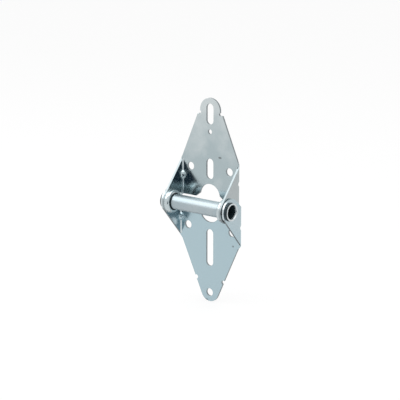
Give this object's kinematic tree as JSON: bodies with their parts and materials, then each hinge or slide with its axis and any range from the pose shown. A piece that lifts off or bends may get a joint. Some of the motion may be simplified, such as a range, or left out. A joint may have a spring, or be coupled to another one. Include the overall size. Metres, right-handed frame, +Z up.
{
  "type": "garage door section hinge",
  "caption": "Garage door section hinge: two folded steel leaves with rounded ears that turn on an open roller tube swaged into the lower leaf.",
  "frame": {"origin": "middle of the roller tube, on the hinge axis", "axes": "+X along the tube, +Y towards the door that the leaves are screwed to, +Z up the door"},
  "size_m": [0.078, 0.0306, 0.1944],
  "materials": {
    "zinc_sheet_upper": "bright zinc plate on cold rolled sheet, softly glossy",
    "zinc_sheet_lower": "bright zinc plate on cold rolled sheet, softly glossy",
    "zinc_tube": "bright zinc plate on drawn tube, glossy"
  },
  "bodies": {
    "upper_leaf_body": {"upper_leaf": "zinc_sheet_upper"},
    "lower_leaf_body": {"lower_leaf": "zinc_sheet_lower", "roller_tube": "zinc_tube"}
  },
  "joints": [
    {"name": "section_fold", "type": "hinge", "parent": "upper_leaf_body", "child": "lower_leaf_body", "pos_m": [0, 0, 0], "axis": [-1, 0, 0], "range_deg": [-6, 200]}
  ]
}
